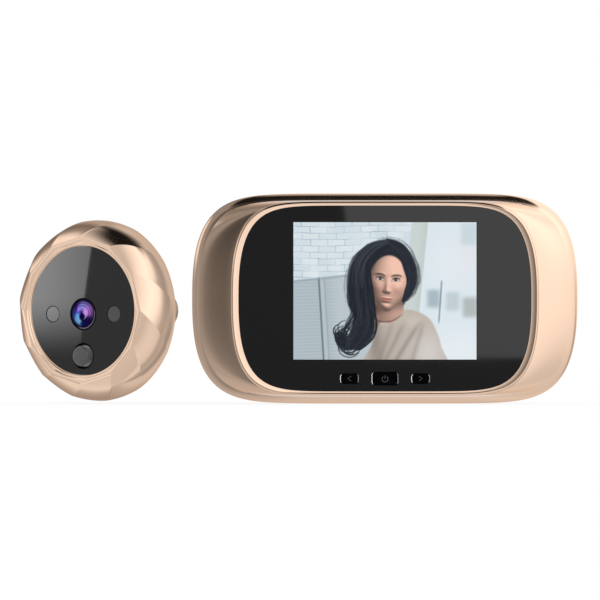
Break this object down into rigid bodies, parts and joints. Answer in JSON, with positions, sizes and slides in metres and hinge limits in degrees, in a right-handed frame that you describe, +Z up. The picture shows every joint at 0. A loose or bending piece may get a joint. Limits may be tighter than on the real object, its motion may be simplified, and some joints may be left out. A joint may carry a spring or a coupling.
{
  "type": "peephole door camera",
  "caption": "Peephole door camera: rounded champagne monitor with screen and keys on a hooked bracket, and a faceted round camera head with lens, bell button and threaded tube.",
  "frame": {"origin": "centre of the tube hole in the door bracket, on the bracket's door face", "axes": "+Y into the door along the tube hole, +Z up, +X to the viewer's right along the set's length"},
  "size_m": [0.176, 0.0528, 0.0662],
  "materials": {
    "champagne_plastic": "ABS shell with a champagne gold metallic lacquer",
    "champagne_metal": "cast shell with the same champagne gold lacquer",
    "black_acrylic": "black back-printed acrylic, polished",
    "lcd_glass": "liquid crystal panel, lit from behind while it shows a picture",
    "tray_steel": "pressed steel tray",
    "key_black": "glossy black moulded key",
    "switch_grey": "moulded switch body",
    "circuit_board": "green solder mask over glass fibre",
    "chip_black": "moulded chip package",
    "screw_steel": "zinc plated screw",
    "socket_cream": "nylon ribbon socket",
    "speaker_black": "speaker box",
    "cell_jacket": "plain cell jacket with bare metal ends",
    "contact_nickel": "nickel plated spring sheet",
    "bracket_steel": "pressed sheet steel, satin zinc",
    "nut_black": "moulded finger nut",
    "foam_black": "closed cell foam",
    "barrel_black": "matt black lens barrel",
    "lens_glass": "coated lens glass",
    "lamp_grey": "infrared lamp, clear epoxy over a grey cup",
    "sensor_glass": "image sensor under its cover glass",
    "bell_black": "glossy black bell button",
    "base_black": "moulded base plate",
    "tube_metal": "turned brass tube, plated champagne"
  },
  "bodies": {
    "door_set": {"door_bracket": "bracket_steel", "head_shell": "champagne_metal", "head_window": "black_acrylic", "lens_barrel": "barrel_black", "front_lens": "lens_glass", "rear_lens": "lens_glass", "lens_holder": "barrel_black", "image_sensor": "sensor_glass", "head_board": "circuit_board", "ir_lamps": "lamp_grey", "bell_switch": "switch_grey", "head_socket": "socket_cream", "head_base": "base_black", "base_screws": "screw_steel", "thread_tube": "tube_metal", "door_gasket": "foam_black"},
    "monitor": {"front_frame": "champagne_plastic", "front_window": "black_acrylic", "screen_gasket": "foam_black", "lcd_panel": "lcd_glass", "lcd_tray": "tray_steel", "key_switches": "switch_grey", "main_board": "circuit_board", "board_chips": "chip_black", "board_screws": "screw_steel", "ribbon_socket": "socket_cream", "speaker": "speaker_black", "rear_shell": "champagne_plastic", "shell_screws": "screw_steel", "battery_cells": "cell_jacket", "battery_contacts": "contact_nickel"},
    "left_key_body": {"left_key": "key_black"},
    "power_key_body": {"power_key": "key_black"},
    "right_key_body": {"right_key": "key_black"},
    "battery_door_body": {"battery_door": "champagne_plastic"},
    "tube_nut_body": {"tube_nut": "nut_black"},
    "bell_button_body": {"bell_button": "bell_black"}
  },
  "joints": [
    {"name": "monitor_lift", "type": "slide", "parent": "door_set", "child": "monitor", "axis": [0, 0, 1], "range_m": [0, 0.0039]},
    {"name": "left_key_press", "type": "slide", "parent": "monitor", "child": "left_key_body", "axis": [0, 1, 0], "range_m": [0, 0.0004], "stiffness_N_per_m": 4000},
    {"name": "power_key_press", "type": "slide", "parent": "monitor", "child": "power_key_body", "axis": [0, 1, 0], "range_m": [0, 0.0004], "stiffness_N_per_m": 4000},
    {"name": "right_key_press", "type": "slide", "parent": "monitor", "child": "right_key_body", "axis": [0, 1, 0], "range_m": [0, 0.0004], "stiffness_N_per_m": 4000},
    {"name": "battery_door_slide", "type": "slide", "parent": "monitor", "child": "battery_door_body", "axis": [1, 0, 0], "range_m": [0, 0.05]},
    {"name": "tube_nut_spin", "type": "hinge", "parent": "door_set", "child": "tube_nut_body", "pos_m": [0, 0, 0], "axis": [0, 1, 0], "continuous": true},
    {"name": "bell_press", "type": "slide", "parent": "door_set", "child": "bell_button_body", "axis": [0.5878, 0.809, 0], "range_m": [0, 0.0006], "stiffness_N_per_m": 4200}
  ]
}
